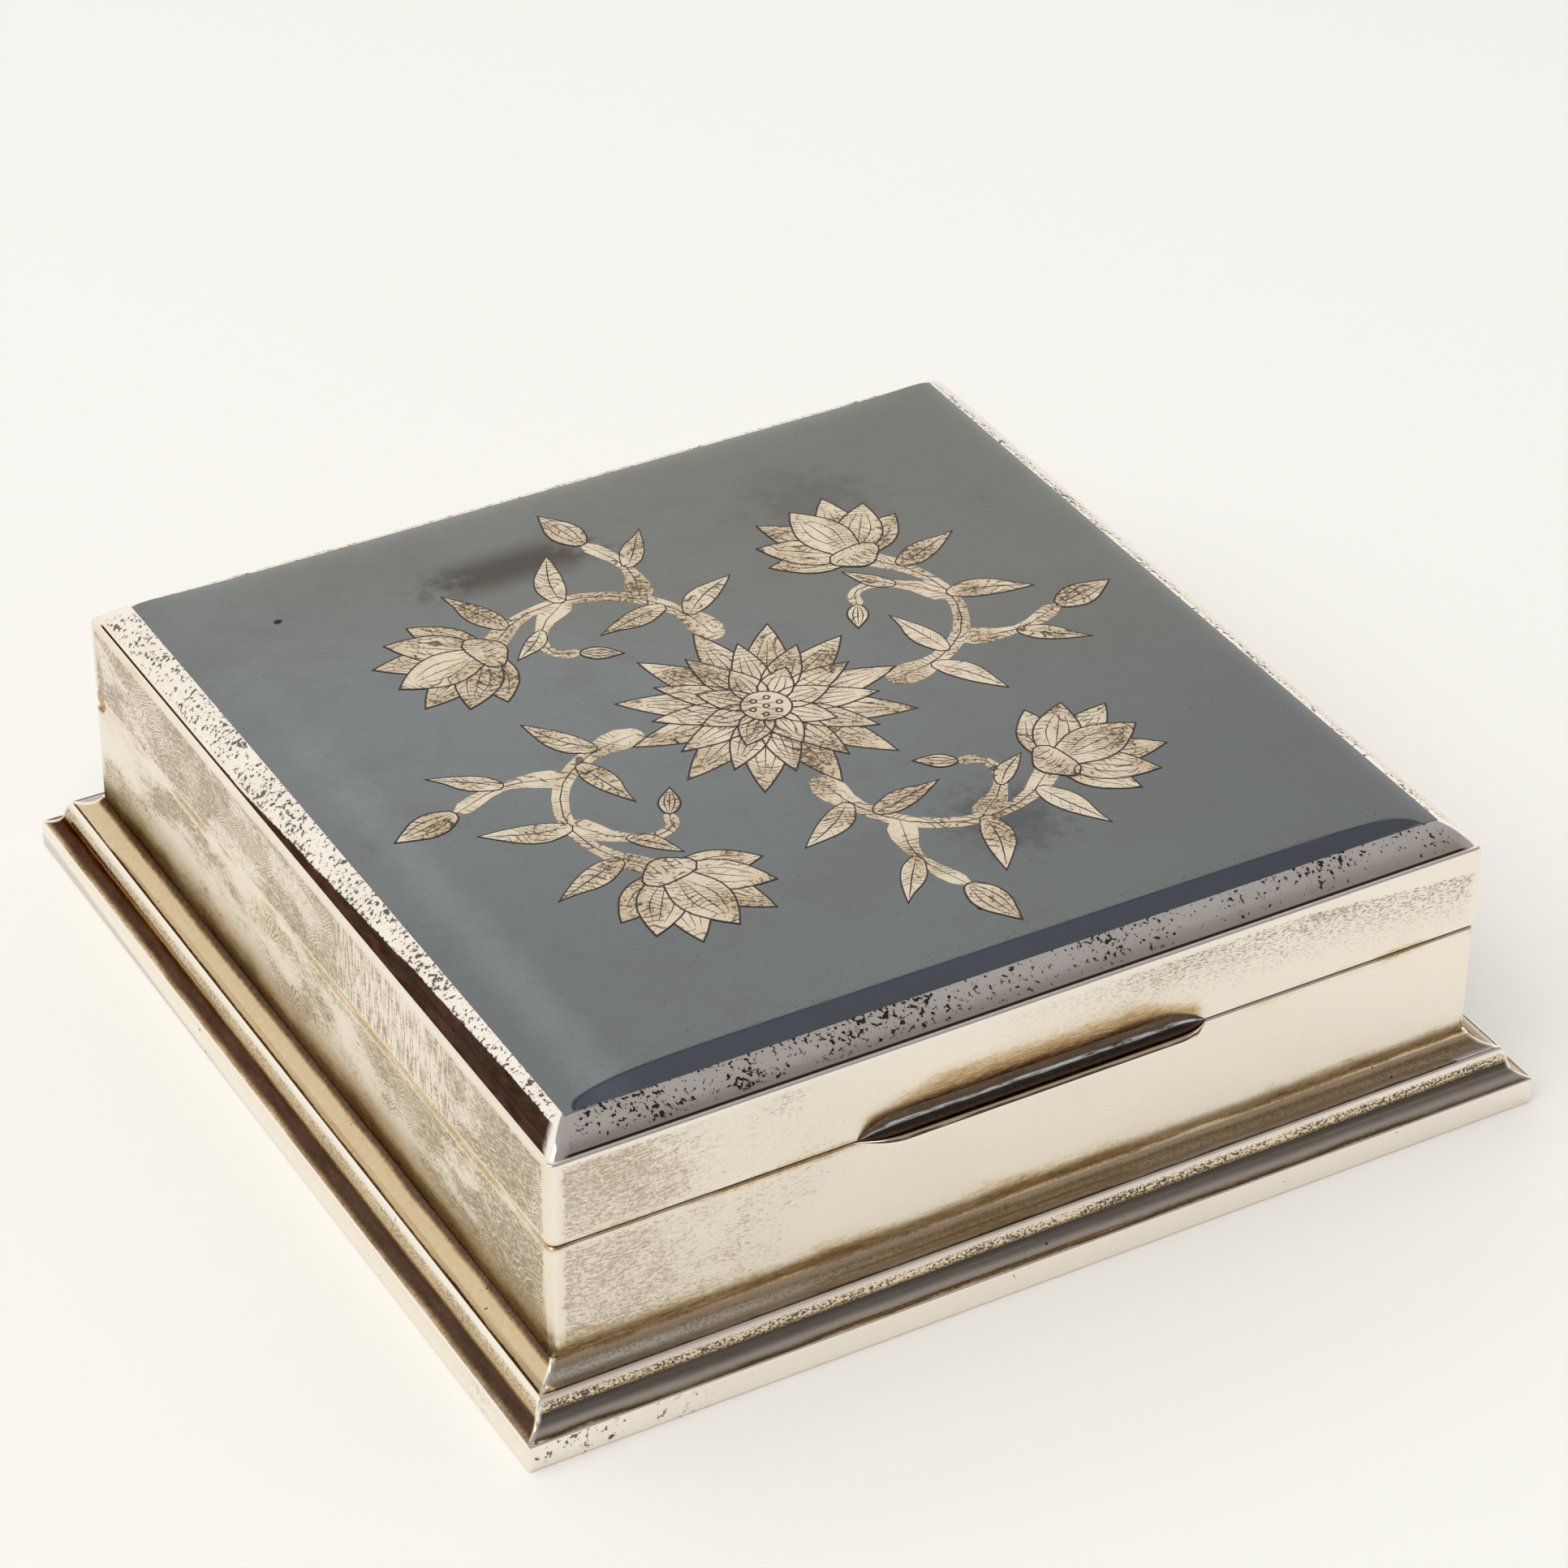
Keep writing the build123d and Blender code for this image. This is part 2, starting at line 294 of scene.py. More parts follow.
def tarnished(finish, stain, film, pits, polish=0.16, overlay=0.0, overlay_colour=DARK_TARNISH_AND_SHADE):
    """Colour, gloss and relief of silver from its stain, rubbed film, pits and an overlay colour, each 0 to
    1; the overlay is tarnish in most places, but painted shade at the foot of the left wall and along the
    lid border, and a painted highlight streak in the thumbpiece hollow.
    """
    colour = finish.ramp(stain, STAIN)
    film = film * stain.fade(0.75, 0.35)
    colour = finish.blend(overlay, colour, overlay_colour)
    colour = finish.blend(film * 0.85, colour, FILM)
    colour = finish.blend(pits, colour, PIT)
    gloss = stain * 0.07 + film * 0.1 + pits * 0.35 + polish
    hairline = finish.noise(0.12, 2, 0.5, stretch=(18, 18, 1), seed=4)
    relief = (1 - pits) * 0.4 + film * 0.2 + hairline * 0.15
    stain_and_overlay = most(stain.fade(0.3, 0.8), overlay)
    finish.set(base_color=colour, metallic=1.0, roughness=gloss)
    finish.set(specular_tint=finish.blend(stain_and_overlay, (1.0, 1.0, 1.0), (0.2, 0.15, 0.11)))
    finish.bump(relief, 0.012)
    return finish.material


def rubbed_film(finish, level):
    """Film left in fine strokes where a polishing cloth did not reach; level is its amount."""
    strokes = finish.noise(0.15, 3, 0.6, stretch=(5, 5, 1), seed=2, place=finish.swirled(14, 2.5, seed=3))
    grain = finish.noise(0.24, 4, 0.7, 0.6)
    marks = strokes * 0.5 + grain * 0.5 + level * 0.4
    scratch = finish.noise(0.12, 2, 0.5, stretch=(12, 12, 1), seed=8, place=finish.swirled(16, 9, seed=6))
    wiped = scratch.fade(0.56, 0.64) * -0.7 + 1.0
    rubbed = marks.fade(0.78, 0.95) * wiped * level.fade(0.0, 0.2) * 0.75
    return level * 0.12 + rubbed


def wall_silver():
    finish = Finish("rubbed wall silver")
    x, y, z = finish.x, finish.y, finish.z
    streak = finish.noise(0.9, 4, 0.62, stretch=(7, 7, 1), seed=1)
    fine = finish.noise(0.35, 3, 0.6, seed=3)
    broad = finish.noise(17, 3, 0.55, seed=5)
    patch = finish.noise(4.5, 5, 0.62, 0.2, stretch=(3, 3, 1), seed=6)
    on_front = y.fade(0.6 - wall_face, 0.1 - wall_face)
    on_left = x.fade(0.6 - wall_face, 0.1 - wall_face)
    over_lid = z.fade(parting - 0.6, parting + 0.4)
    brushed = finish.noise(0.16, 4, 0.7, stretch=(7, 7, 1), seed=17) * 1.5 + 0.25
    # Gold and brown along the foot, round the thumbpiece and in the parting, with a wide band of painted
    # shade at the foot of the left side
    ragged = streak.sway(1.5) + fine.sway(0.9)
    height = z - moulding_top
    gold = (height + ragged + broad.sway(2.6)).fade(3.1, -0.4) * brushed * 0.64
    dark = (height + streak.sway(0.3) + fine.sway(0.15)).fade(0.3, 0.0)
    climb = height + streak.sway(0.9) + fine.sway(0.5) + broad.sway(1.6)
    # Painted shade and a painted dark reflection of the moulding, in a wide band up the foot of the left
    # side
    left_foot_shade = finish.ramp(climb / 7, ((0.0, 0.82), (0.2, 0.78), (0.36, 0.56), (0.6, 0.3), (0.95, 0.0)))
    left_foot_shade = left_foot_shade * on_left
    foot = most(gold, dark * 0.7, left_foot_shade * 0.7)
    over_thumb = z - parting + streak.sway(0.7) + fine.sway(0.5)
    ends = abs(x).fade(thumb_half + 1.0, thumb_half - 9)
    rise = over_thumb / 5.8 + (1 - ends) * 0.38
    glow = finish.ramp(rise, ((0.0, 0.9), (0.24, 0.82), (0.36, 0.66), (0.58, 0.54), (0.76, 0.22),
                              (0.92, 0.0)))
    over_lip = over_lid * on_front * ends.fade(0.0, 0.15)
    halo = glow * brushed * over_lip
    tints = finish.ramp(rise, ((0.1, (0.05, 0.044, 0.026)), (0.3, (0.12, 0.105, 0.05)),
                               (0.44, (0.33, 0.165, 0.095)), (0.62, (0.6, 0.42, 0.22))))
    tint = over_lip * rise.fade(0.8, 0.45) * brushed.fade(0.7, 1.3) * 0.85
    from_parting = abs(z - parting)
    outside = most(abs(x), abs(y)).fade(wall_face - 0.15, wall_face - 0.05)
    near_parting = (from_parting + fine.sway(0.5)).fade(1.0, 0.0)
    haze = near_parting * (broad + streak.sway(0.4)).fade(0.3, 0.6) * 0.55
    seam = from_parting.fade(0.15, 0.09) * outside * 0.85
    straw = on_left * patch.fade(0.1, 0.9) * 0.36
    grain = finish.noise(0.13, 3, 0.7, stretch=(3, 3, 1), seed=19).fade(0.35, 0.7) * 0.13
    stain = most(foot, halo, haze, seam, straw, grain)
    # Film at the left end, over the right end of the lid and all along the left side
    left_end = (x + patch.sway(16)).fade(-2, -46) * on_front * 0.85
    margin = z + fine.sway(0.25) + x.fade(24, 44) * 1.5
    below = lid_wall_top - 0.7 - margin
    under_rim = below.fade(-0.1, 0.2) * below.fade(7.5, 0.0)
    right_lid = (x + patch.sway(8)).fade(-14, 22) * on_front * over_lid * under_rim
    near_end = (y + patch.sway(7)).fade(-31, -42) * 0.5
    left_side = 0.45 + patch.fade(0.35, 0.65) * 0.45 + near_end + over_lid * 0.28
    faint = (broad + patch.sway(0.3)).fade(0.35, 0.75) * 0.45
    unseen = (1 - most(on_front, on_left)) * patch.fade(0.3, 0.78) * 0.65
    level = left_end + right_lid * 0.5 + on_left * left_side + faint + unseen
    level = least(level, 1.0)
    combed = on_left * over_lid * y.fade(-4, -12) * y.fade(-30, -22)
    comb = finish.noise(0.3, 2, 0.5, stretch=(1, 1, 9), seed=14).fade(0.44, 0.54)
    level = level * combed * (comb - 1.0) + level
    # Arrises that stay bright
    from_corner = wall_face - least(abs(x), abs(y))
    rough_edge = fine.sway(0.5) + streak.sway(0.4)
    under_top = lid_wall_top - (z + fine.sway(0.3))
    bright = least((from_corner + rough_edge).fade(0.7, 1.5), under_top.fade(0.2, 0.7))
    beside_seam = (from_parting + fine.sway(0.5)).fade(0.2, 0.9)
    bright = bright * (beside_seam * 0.7 + 0.3)
    film = rubbed_film(finish, level * bright)
    # Curls scratched through the film on the left side
    curl = finish.vector_math("DOT_PRODUCT", finish.swirled(9, 5, seed=11), (0.0, 2.0, 2.4))
    ridge = (finish.math("PINGPONG", curl, 0.5) + fine.sway(0.2)).fade(0.3, 0.16)
    curls = on_left * ridge * finish.noise(7, 2, 0.5, seed=15).fade(0.5, 0.62)
    film = film * (curls * -0.65 + 1.0) * (on_left + 3.0) / 3
    # Dark dashes over the right end of the lid
    dash = finish.noise(0.13, 3, 0.6, stretch=(3.5, 3.5, 1), seed=21)
    dashes = (dash + right_lid * 0.1).fade(0.6, 0.67)
    dots = most(fine.fade(0.74, 0.8), dashes * right_lid * bright * 0.62)
    # The overlay: tints round the thumbpiece, and on the left the painted shade at the foot, in dark olive
    overlay = most(tint, left_foot_shade * climb.fade(3.6, 0.8) * 0.95)
    return tarnished(finish, stain, film, dots, 0.18, overlay,
                     finish.blend(on_left, tints, (0.085, 0.066, 0.046)))


def moulding_silver():
    finish = Finish("tarnished moulding silver")
    x, y, z = finish.x, finish.y, finish.z
    streak = finish.noise(0.5, 4, 0.62, stretch=(9, 9, 1), seed=1)
    fine = finish.noise(0.3, 3, 0.62, seed=3)
    broad = finish.noise(13, 2, 0.5, seed=7)
    patches = finish.noise(6, 3, 0.55, seed=9)
    ragged = streak.sway(0.08) + fine.sway(0.05) + broad.sway(0.1)
    out = most(abs(x), abs(y)) - wall_face
    cove_width = band_head[0] - wall_face
    cove_foot = band_head[1] / moulding_top
    into_cove = most(1.0 - out / cove_width, 0.0)
    height = least(z / moulding_top, cove_foot) + into_cove * (1 - cove_foot) + ragged / moulding_top
    on_left = finish.left_side()
    # Tarnish from the foot (0) to the wall (1): on the left gold over a dark hollow, else grey and brown
    gilt = finish.ramp(height, ((0.0, 0.15), (0.04, 0.06), (0.375, 0.04), (0.395, 0.55), (0.42, 0.84),
                                (0.53, 0.84), (0.575, 0.6), (0.6, 0.46), (0.68, 0.4), (0.7, 0.08),
                                (0.8, 0.04), (0.81, 0.96), (0.828, 0.96), (0.838, 0.42), (0.96, 0.46),
                                (0.98, 0.85), (1.0, 0.9)))
    dull = finish.ramp(height, ((0.0, 0.2), (0.04, 0.0), (0.38, 0.0), (0.395, 0.6), (0.43, 0.16),
                                (0.5, 0.18), (0.59, 0.4), (0.64, 0.44), (0.7, 0.14), (0.8, 0.04),
                                (0.812, 0.6), (0.835, 0.15), (0.86, 0.24), (0.885, 0.52), (0.93, 0.58),
                                (0.95, 0.62), (0.965, 0.4), (0.985, 0.4), (0.993, 0.72), (1.0, 0.78)))
    # The cove is cleaner towards the front left corner
    cleaner = x.fade(-6, -40) * height.fade(0.84, 0.87) * height.fade(0.965, 0.94) * 0.6
    depth = finish.blend(on_left, dull * (1 - cleaner), gilt)
    hollow = finish.ramp(height, ((0.39, 0.0), (0.41, 0.75), (0.53, 0.75), (0.575, 0.0)))
    grey = finish.ramp(height, ((0.385, 0.0), (0.395, 0.8), (0.41, 0.25), (0.44, 0.3), (0.48, 0.7),
                                (0.53, 0.97), (0.6, 1.0), (0.62, 0.6), (0.66, 0.0), (0.79, 0.0),
                                (0.806, 0.95), (0.825, 0.85), (0.84, 0.25), (0.87, 0.5), (0.9, 0.05),
                                (1.0, 0.15)))
    overlay = finish.blend(on_left, grey, hollow)
    overlay_colour = finish.blend(on_left, DARK_TARNISH_AND_SHADE, finish.blend(streak.fade(0.35, 0.65), *RUST))
    fascia_out = base_face - wall_face
    worn = least(finish.distance(out, fascia_out, z, fascia_height).fade(0.08, 0.22),
                 finish.distance(out, cove_width, z, band_head[1]).fade(0.08, 0.2))
    corner = abs(abs(x) - abs(y))
    worn = least(worn, corner.fade(0.05, 0.5))
    mottle = finish.noise(0.45, 4, 0.7, 0.5, seed=11).sway(0.5)
    tan = height.fade(0.57, 0.63) * height.fade(0.76, 0.7) * 0.38
    stain = (most(depth, tan) + mottle * depth * 0.4) * worn
    # Speckle where the hollow meets the band and in the cove, pits on the fascia near the front corner
    head = height.fade(0.57, 0.63) * height.fade(0.76, 0.7)
    cove = height.fade(0.87, 0.9) * height.fade(0.98, 0.95) * (1 - on_left) * 0.35
    grain = finish.noise(0.15, 3, 0.6, 0.3, stretch=(1.8, 1.8, 1), seed=6) + patches.sway(0.12)
    share = on_left * -0.45 + 0.88
    speckle = grain.fade(0.48, 0.56) * most(head, cove) * share
    near_corner = (x + y).fade(-80, -90) * z.fade(2.8, 2.4) * (on_left * -0.6 + 0.85)
    cluster = finish.noise(0.55, 3, 0.6, 0.3, seed=12) + patches.sway(0.22)
    pits = cluster.fade(0.6, 0.63) * (near_corner + cluster.fade(0.73, 0.77))
    pits = most(speckle, least(pits, 1.0)) * worn
    film = rubbed_film(finish, broad.fade(0.35, 0.7) * z.fade(2.2, 2.7) * worn * 0.5)
    return tarnished(finish, stain, film, pits, 0.08, overlay * worn, overlay_colour)


def border_silver():
    finish = Finish("pitted border silver")
    x, y = finish.x, finish.y
    fine = finish.noise(0.3, 3, 0.62, seed=3)
    streak = finish.noise(0.5, 4, 0.62, stretch=(6, 6, 1), seed=1)
    clusters = finish.noise(3.6, 3, 0.6, seed=2)
    reach = most(abs(x), abs(y))
    rise = (border_foot - reach) / (border_foot - panel_half)
    on_left = finish.left_side()
    ragged = rise + streak.sway(0.06) + fine.sway(0.04)
    # A brown wedge along the left side, widest at the front, and a shade along the foot of the rest
    along_left = ragged + y.fade(-45, 28) * 0.62
    brown = along_left.fade(0.635, 0.605) * on_left
    line = abs(ragged - 0.26).fade(0.04, 0.01)
    shade = rise.fade(0.45, 0.05) * (1 - on_left) * 0.38
    # The dark overlay holds the painted shade along the foot of the border and the brown rust wedge on the
    # left
    overlay = most(shade, brown)
    rust = finish.blend(streak.fade(0.35, 0.65) * (1 - line), *RUST)
    overlay_colour = finish.blend(on_left, DARK_TARNISH_AND_SHADE, rust)
    foot = rise.fade(0.07, 0.03)
    stain = most(foot, clusters.fade(0.3, 0.8) * 0.14)
    corner = abs(abs(x) - abs(y))
    clean = corner.fade(0.7, 1.8)
    marks = finish.noise(0.42, 4, 0.6, 0.2, seed=6) + clusters.sway(0.15)
    fewer_right = x.fade(-10, 40) * rise.fade(0.7, 0.4) * 0.06
    more_left = on_left * rise.fade(0.3, 0.7) * y.fade(40, -30) * 0.022
    pits = (marks + more_left - fewer_right).fade(0.565, 0.59)
    pits = pits * clean * rise.fade(0.08, 0.16) * (on_left * -0.12 + 1.0)
    film = rubbed_film(finish, clusters.fade(0.4, 0.7) * 0.3)
    return tarnished(finish, stain * clean, film, pits, 0.1, overlay * clean, overlay_colour)


def thumb_silver():
    finish = Finish("thumbpiece silver")
    across = finish.attribute("across")
    streak = finish.noise(0.35, 4, 0.6, stretch=(12, 1, 1), seed=1)
    fine = finish.noise(0.35, 3, 0.6, seed=3)
    wander = across + streak.sway(0.04)
    # From the wall (0) over the hollow and the nose to the foot (1)
    depth = finish.ramp(wander * 0.5, ((0.0, 0.88), (0.04, 0.92), (0.15, 0.97), (0.22, 0.88), (0.29, 0.7),
                                       (0.41, 0.62), (0.45, 0.34), (0.485, 0.24), (0.495, 0.95),
                                       (0.6, 0.95), (0.65, 0.06), (1.0, 0.04)))
    inside = across.fade(0.94, 0.88)
    stain = depth + inside * (streak.sway(0.08) + fine.sway(0.08))
    # A painted highlight: a broken pale blue-grey streak along the hollow
    highlight_band = abs(wander - 0.17).fade(0.055, 0.015)
    painted_highlight = highlight_band * finish.noise(0.5, 4, 0.65, stretch=(6, 1, 1), seed=4).fade(0.36, 0.56) * 0.9
    mottle = finish.noise(0.45, 3, 0.6, 0.3, stretch=(2, 1, 1), seed=6).fade(0.5, 0.56)
    pits = mottle * inside * across.fade(0.45, 0.55) * across.fade(0.86, 0.76) * 0.85
    return tarnished(finish, stain, inside * fine * 0.1, pits, 0.07, painted_highlight, PAINTED_HIGHLIGHT_COLOUR)


def inner_silver():
    finish = Finish("dull inner silver")
    broad = finish.noise(9, 4, 0.6, seed=5)
    fine = finish.noise(0.4, 4, 0.65, seed=3)
    stain = broad.fade(0.35, 0.75) * 0.45 + fine.sway(0.15)
    film = rubbed_film(finish, broad.fade(0.4, 0.6))
    pits = fine.fade(0.7, 0.75)
    return tarnished(finish, stain, film, pits, 0.24)


def niello_finish():
    finish = Finish("polished niello")
    x, y = finish.x, finish.y
    cloud = finish.noise(30, 3, 0.5, 0.3, seed=2)
    haze = finish.noise(8, 4, 0.6, 0.5, seed=4)
    back = (y * 0.7 + x * 0.5 + cloud.sway(26)).fade(-14, 30)
    colour = finish.blend(back, (0.205, 0.226, 0.23), (0.2, 0.204, 0.19))
    # Painted shade darkens the ground towards the front and the right, and a painted sheen lightens a strip
    # along the left edge
    shade = y.fade(12, -30) * 0.24 + x.fade(-10, 40) * 0.14
    colour = finish.blend(shade, colour, (0.06, 0.065, 0.068))
    sheen = abs(x + 37.5).fade(3.4, 0.0) * y.fade(36, 0)
    colour = finish.blend(sheen * 0.3, colour, (0.3, 0.34, 0.37))
    mist = finish.noise(1.3, 5, 0.7, seed=12).fade(0.35, 0.75) * 0.16
    dull = haze.fade(0.4, 0.8) * 0.4 + mist
    colour = finish.blend(dull, colour, (0.15, 0.15, 0.14))
    from_smoke = abs(y - 31)
    overlay = finish.spot(-9.5, 31, 11, 7) * from_smoke.fade(4.5, 0.5)
    colour = finish.blend(overlay * 0.8, colour, (0.075, 0.055, 0.045))
    colour = finish.blend(finish.spot(9.5, -24.5, 7, 6) * 0.55, colour, (0.06, 0.055, 0.055))
    colour = finish.blend(finish.spot(20.5, 27.5, 8, 7) * 0.4, colour, (0.1, 0.08, 0.065))
    specks = finish.noise(0.24, 2, 0.5, seed=8).fade(0.68, 0.74)
    dots = most(finish.spot(0.8, -34.6, 0.42, 0.2), finish.spot(-31.7, 32.8, 0.5, 0.25))
    colour = finish.blend(most(specks * 0.6, dots), colour, (0.02, 0.02, 0.02))
    rub = finish.noise(0.4, 4, 0.65, stretch=(6, 1, 1), seed=5)
    gloss = 0.02 + dull * 0.12 + rub * 0.03 + overlay * 0.25
    finish.set(base_color=colour, metallic=1.0, roughness=gloss)
    finish.bump(rub * 0.1 + (1 - specks), 0.002)
    return finish.material


def inlay_silver():
    finish = Finish("inlaid silver")
    cloud = finish.noise(5, 3, 0.55, seed=2)
    fine = finish.noise(0.3, 4, 0.66, 0.4, seed=3)
    spots = (finish.noise(0.42, 4, 0.66, 0.5, seed=6) + cloud.sway(0.26)).fade(0.57, 0.64)
    colour = finish.blend(cloud.fade(0.35, 0.7), (0.82, 0.71, 0.54), (0.64, 0.5, 0.33))
    colour = finish.blend(fine.fade(0.52, 0.75) * 0.45, colour, (0.42, 0.29, 0.17))
    colour = finish.blend(spots * 0.72, colour, (0.13, 0.08, 0.045))
    bent = finish.vector_math("DOT_PRODUCT", finish.swirled(6, 4, seed=9), (0.9, 1.4, 0.0))
    stroke = finish.math("PINGPONG", bent, 0.5).fade(0.13, 0.06)
    broken = finish.noise(1.6, 2, 0.5, seed=5).fade(0.42, 0.5)
    strokes = stroke * broken * cloud.fade(0.36, 0.44)
    colour = finish.blend(strokes * 0.8, colour, (0.05, 0.037, 0.028))
    gloss = 0.22 + spots * 0.2 + fine * 0.12
    finish.set(base_color=colour, metallic=1.0, roughness=gloss)
    finish.bump(fine + (1 - spots) + (1 - strokes), 0.008)
    return finish.material


def engraving_niello():
    finish = Finish("niello in the engraving")
    fine = finish.noise(0.3, 3, 0.6, seed=3)
    colour = finish.blend(fine, (0.018, 0.016, 0.016), (0.065, 0.052, 0.042))
    finish.set(base_color=colour, metallic=0.6, roughness=0.42)
    return finish.material


def cedar_finish(name, along):
    """Planed cedar; along is the direction of its grain."""
    finish = Finish(name)

    def drawn_out(length):
        return tuple(1 + (length - 1) * share for share in along)

    wavy = finish.swirled(26, 1.6, seed=3)
    rings = finish.noise(1.7, 3, 0.55, 0.4, stretch=drawn_out(26), seed=1, place=wavy)
    grain = finish.noise(0.2, 3, 0.6, stretch=drawn_out(30), seed=2, place=wavy)
    tone = (rings * 0.7 + grain * 0.3).fade(0.34, 0.68)
    colour = finish.blend(tone, (0.4, 0.19, 0.095), (0.2, 0.08, 0.04))
    pores = grain.fade(0.62, 0.72)
    colour = finish.blend(pores * 0.5, colour, (0.1, 0.04, 0.02))
    finish.set(base_color=colour, roughness=0.5 + grain * 0.25)
    finish.bump(1 - pores, 0.05)
    return finish.material


def brass_finish():
    finish = Finish("dull brass")
    fine = finish.noise(0.4, 4, 0.65, seed=3)
    colour = finish.blend(fine.fade(0.4, 0.7), (0.74, 0.47, 0.22), (0.3, 0.15, 0.06))
    finish.set(base_color=colour, metallic=1.0, roughness=0.22 + fine * 0.25)
    finish.bump(fine, 0.01)
    return finish.material


# Modelling
def deselect():
    if bpy.context.object and bpy.context.object.mode != "OBJECT":
        bpy.ops.object.mode_set(mode="OBJECT")
    bpy.ops.object.select_all(action="DESELECT")


def pick(piece):
    """Makes a piece the only one selected."""
    deselect()
    piece.select_set(True)
    bpy.context.view_layer.objects.active = piece


def edit_edges(piece, wanted):
    """Opens a piece with those edges selected whose two ends (in millimetres) are wanted."""
    pick(piece)
    mesh = piece.data
    for element in (*mesh.vertices, *mesh.polygons):
        element.select = False
    for edge in mesh.edges:
        first, second = (mesh.vertices[i].co / MM for i in edge.vertices)
        edge.select = wanted(first, second)
    bpy.context.tool_settings.mesh_select_mode = (False, True, False)
    bpy.ops.object.mode_set(mode="EDIT")


def edit_rim():
    """Opens the active sheet with the edges of its rim selected."""
    bpy.ops.object.mode_set(mode="EDIT")
    bpy.context.tool_settings.mesh_select_mode = (False, True, False)
    bpy.ops.mesh.select_all(action="SELECT")
    bpy.ops.mesh.region_to_loop()


def close_piece():
    """Turns the open piece's normals outward and closes it."""
    bpy.ops.mesh.select_all(action="SELECT")
    bpy.ops.mesh.normals_make_consistent(inside=False)
    bpy.ops.object.mode_set(mode="OBJECT")


def sunk(start, end, sag, steps):
    """Points of a hollow from start to end that sinks by sag below the straight line."""
    across, up = end[0] - start[0], end[1] - start[1]
    length = (across * across + up * up) ** 0.5
    points = []
    for step in range(1, steps + 1):
        t = step / steps
        dip = 4 * sag * t * (1 - t)
        reach = start[0] + across * t - dip * up / length
        points.append((reach, start[1] + up * t + dip * across / length))
    return points


def square_ring(name, profile):
    """A square outline drawn out and resized from point to point of the profile (reach, height)."""
    deselect()
    reach, height = profile[0]
    bpy.ops.mesh.primitive_plane_add(size=2 * reach * MM, location=(0, 0, height * MM))
    ring = bpy.context.object
    ring.name = name
    bpy.ops.object.transform_apply(location=True)
    bpy.ops.object.mode_set(mode="EDIT")
    bpy.ops.mesh.select_all(action="SELECT")
    bpy.ops.mesh.delete(type="ONLY_FACE")
    bpy.ops.mesh.select_all(action="SELECT")
    for next_reach, next_height in profile[1:]:
        rise = (0, 0, (next_height - height) * MM)
        bpy.ops.mesh.extrude_edges_move(TRANSFORM_OT_translate={"value": rise})
        scale = next_reach / reach
        bpy.ops.transform.resize(value=(scale, scale, 1), center_override=(0, 0, 0))
        reach, height = next_reach, next_height
    bpy.ops.mesh.select_all(action="SELECT")
    bpy.ops.mesh.remove_doubles(threshold=touch * MM)
    bpy.ops.mesh.fill_holes(sides=0)
    close_piece()
    return ring


def round_edges(piece, wanted, width, segments=3):
    """Rounds the wanted edges."""
    edit_edges(piece, wanted)
    bpy.ops.mesh.bevel(offset=width * MM, segments=segments, profile=0.5, affect="EDGES")
    bpy.ops.object.mode_set(mode="OBJECT")


def on_mitre(first, second):
    """True of an edge that runs along a mitre."""
    along = all(abs(abs(p.x) - abs(p.y)) < touch for p in (first, second))
    return along and (first - second).length > apart


def base_mouldings(material):
    """One ring of moulding with worn arrises, sawn into four mitred lengths."""
    fascia_head = (base_face, fascia_height)
    profile = [(base_face, 0), fascia_head, *sunk(fascia_head, hollow_head, hollow_sag, hollow_steps),
               band_head, *sunk(band_head, (wall_face, moulding_top), cove_sag, cove_steps),
               (wall_face - corner_seat, moulding_top), (wall_face - corner_seat, 0), (base_face, 0)]
    ring = square_ring("base_moulding", profile)
    arrises = [fascia_head, hollow_head, band_head]

    def worn(first, second):
        reach = max(abs(first.x), abs(first.y))
        level = abs(first.z - second.z) < touch
        on_arris = any(abs(reach - r) < touch and abs(first.z - h) < touch for r, h in arrises)
        return (level and on_arris) or (on_mitre(first, second) and reach > wall_face + apart)

    round_edges(ring, worn, arris_round)
    saws = {"front": ((1, 1, 0), (-1, 1, 0)), "back": ((1, -1, 0), (-1, -1, 0)),
            "left": ((1, 1, 0), (1, -1, 0)), "right": ((-1, 1, 0), (-1, -1, 0))}
    for side, cuts in saws.items():
        pick(ring)
        bpy.ops.object.duplicate()
        length = bpy.context.object
        length.name = f"moulding_{side}"
        bpy.ops.object.mode_set(mode="EDIT")
        for cut in cuts:
            bpy.ops.mesh.select_all(action="SELECT")
            bpy.ops.mesh.bisect(plane_co=(0, 0, 0), plane_no=cut, use_fill=True, clear_outer=True,
                                threshold=saw_touch * MM)
        bpy.ops.object.mode_set(mode="OBJECT")
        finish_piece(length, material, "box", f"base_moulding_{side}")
    bpy.data.objects.remove(ring)


